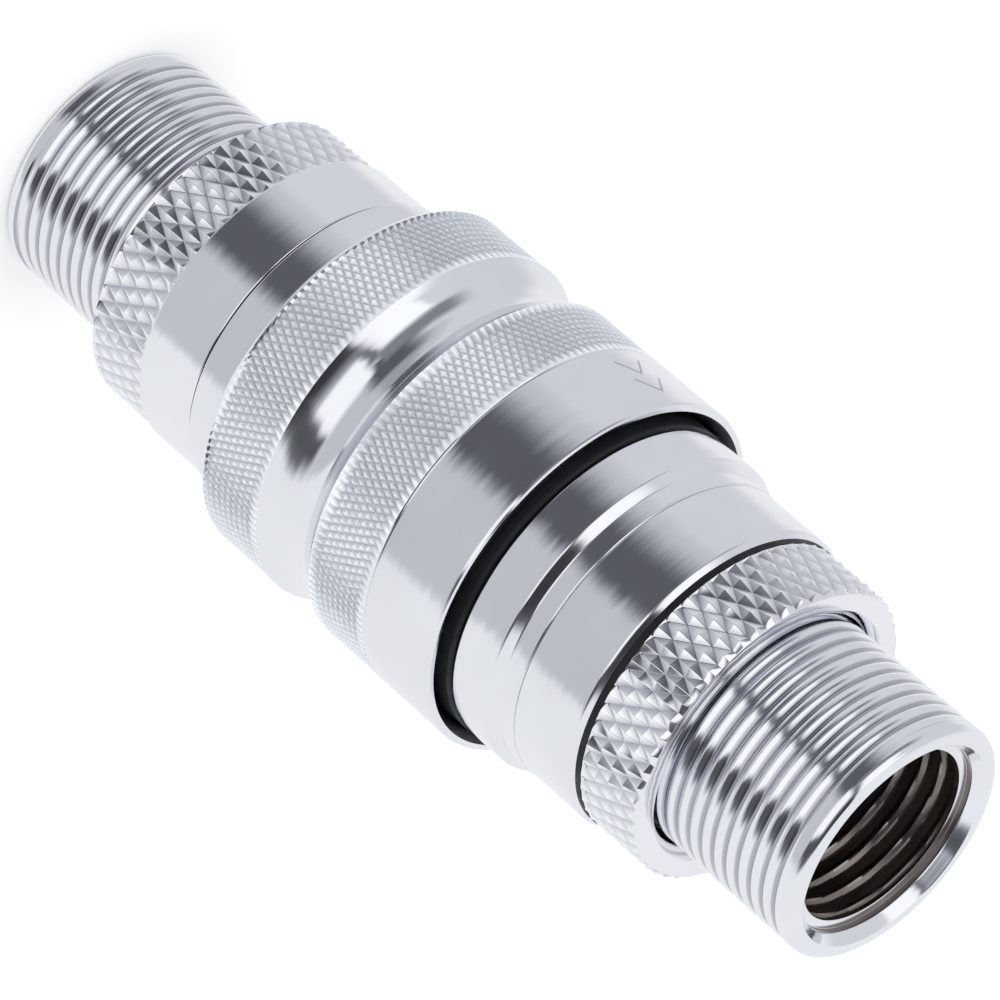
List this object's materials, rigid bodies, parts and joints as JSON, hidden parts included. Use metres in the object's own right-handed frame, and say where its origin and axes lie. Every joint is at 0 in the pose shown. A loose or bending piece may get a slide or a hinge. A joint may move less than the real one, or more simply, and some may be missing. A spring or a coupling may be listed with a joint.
{
  "type": "liquid cooling quick coupling",
  "caption": "Round chrome-plated quick coupling, two halves joined, with a knurled release sleeve, threaded bulkhead nipples with ring nuts, and a valve in each half.",
  "frame": {"origin": "centre of the socket nipple's end face, which the part stands on", "axes": "+Z along the coupling's axis, from the socket half up to the plug half"},
  "size_m": [0.0242, 0.0242, 0.0695],
  "materials": {
    "chrome": "polished plating on turned brass",
    "chrome_collar": "polished plating with fine turning marks",
    "chrome_sleeve": "plating with brushed bands, a polished waist and fine diamond knurls",
    "chrome_nut": "bright plating over a coarse diamond knurl",
    "rubber": "matt black rubber",
    "brass": "turned brass",
    "spring_steel": "drawn stainless wire and strip"
  },
  "bodies": {
    "socket": {"socket_rear_body": "chrome", "socket_front_body": "chrome", "socket_body_seal": "rubber", "socket_valve_spring": "spring_steel", "socket_valve_guide": "brass", "nose_seal": "rubber", "lock_ring": "spring_steel", "sleeve_spring": "spring_steel", "retaining_ring": "spring_steel", "dust_ring": "rubber"},
    "sleeve": {"push_sleeve": "chrome_sleeve"},
    "socket_nut": {"socket_nut": "chrome_nut"},
    "socket_valve": {"socket_poppet": "brass", "socket_poppet_seal": "rubber"},
    "plug": {"plug_rear_body": "chrome", "plug_nose": "chrome_collar", "plug_body_seal": "rubber", "plug_gasket": "rubber", "plug_valve_spring": "spring_steel", "plug_valve_guide": "brass"},
    "plug_nut": {"plug_nut": "chrome_nut"},
    "plug_valve": {"plug_poppet": "brass", "plug_poppet_seal": "rubber"}
  },
  "joints": [
    {"name": "sleeve_push", "type": "slide", "parent": "socket", "child": "sleeve", "axis": [0, 0, 1], "range_m": [0, 0.0026], "stiffness_N_per_m": 1500, "springref_m": -0.004, "deforming": ["sleeve_spring"]},
    {"name": "plug_pull", "type": "slide", "parent": "socket", "child": "plug", "axis": [0, 0, 1], "range_m": [0, 0.024], "deforming": ["lock_ring"]},
    {"name": "socket_valve_close", "type": "slide", "parent": "socket", "child": "socket_valve", "axis": [0, 0, 1], "range_m": [0, 0.0024], "deforming": ["socket_valve_spring"]},
    {"name": "plug_valve_close", "type": "slide", "parent": "plug", "child": "plug_valve", "axis": [0, 0, -1], "range_m": [0, 0.0024], "deforming": ["plug_valve_spring"]},
    {"name": "socket_nut_travel", "type": "slide", "parent": "socket", "child": "socket_nut", "axis": [0, 0, -1], "range_m": [0, 0.0105]},
    {"name": "plug_nut_travel", "type": "slide", "parent": "plug", "child": "plug_nut", "axis": [0, 0, 1], "range_m": [0, 0.0105]}
  ],
  "couplings": [
    {"joint": "socket_valve_close", "follows": "plug_pull", "ratio": 0.1},
    {"joint": "plug_valve_close", "follows": "plug_pull", "ratio": 0.1}
  ]
}
